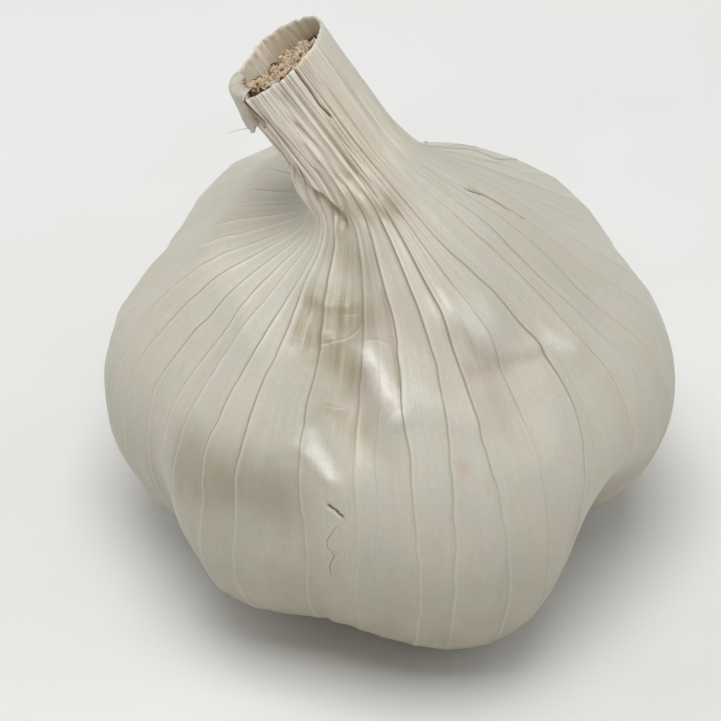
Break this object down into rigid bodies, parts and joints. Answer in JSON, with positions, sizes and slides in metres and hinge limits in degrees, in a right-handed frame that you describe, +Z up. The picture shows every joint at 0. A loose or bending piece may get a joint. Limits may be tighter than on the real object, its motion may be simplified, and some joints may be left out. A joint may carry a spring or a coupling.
{
  "type": "garlic bulb",
  "caption": "Whole garlic bulb in its papery, veined skin, with a short leaning neck cut across and a trimmed root plate that it rests on.",
  "frame": {"origin": "centre of the root plate's flat underside, on the surface that the bulb rests on", "axes": "+Z up through the bulb's middle, -Y towards the front that the picture shows, the neck leans towards -X and a little +Y"},
  "size_m": [0.0613, 0.0613, 0.0635],
  "materials": {
    "papery_skin": "dry, thin, semi-translucent papery skin with fine veins, off-white to beige, satin",
    "dried_sheaths": "dried leaf sheaths cut across, tan, fibrous, matt",
    "torn_sheath": "torn dry outer leaf, beige with a brown edge, matt",
    "root_plate": "corky root plate and dry trimmed roots, tan to brown, matt"
  },
  "bodies": {
    "root": {"bulb_skin": "papery_skin", "neck_core": "dried_sheaths", "torn_sheath": "torn_sheath", "root_plate": "root_plate"}
  },
  "joints": []
}
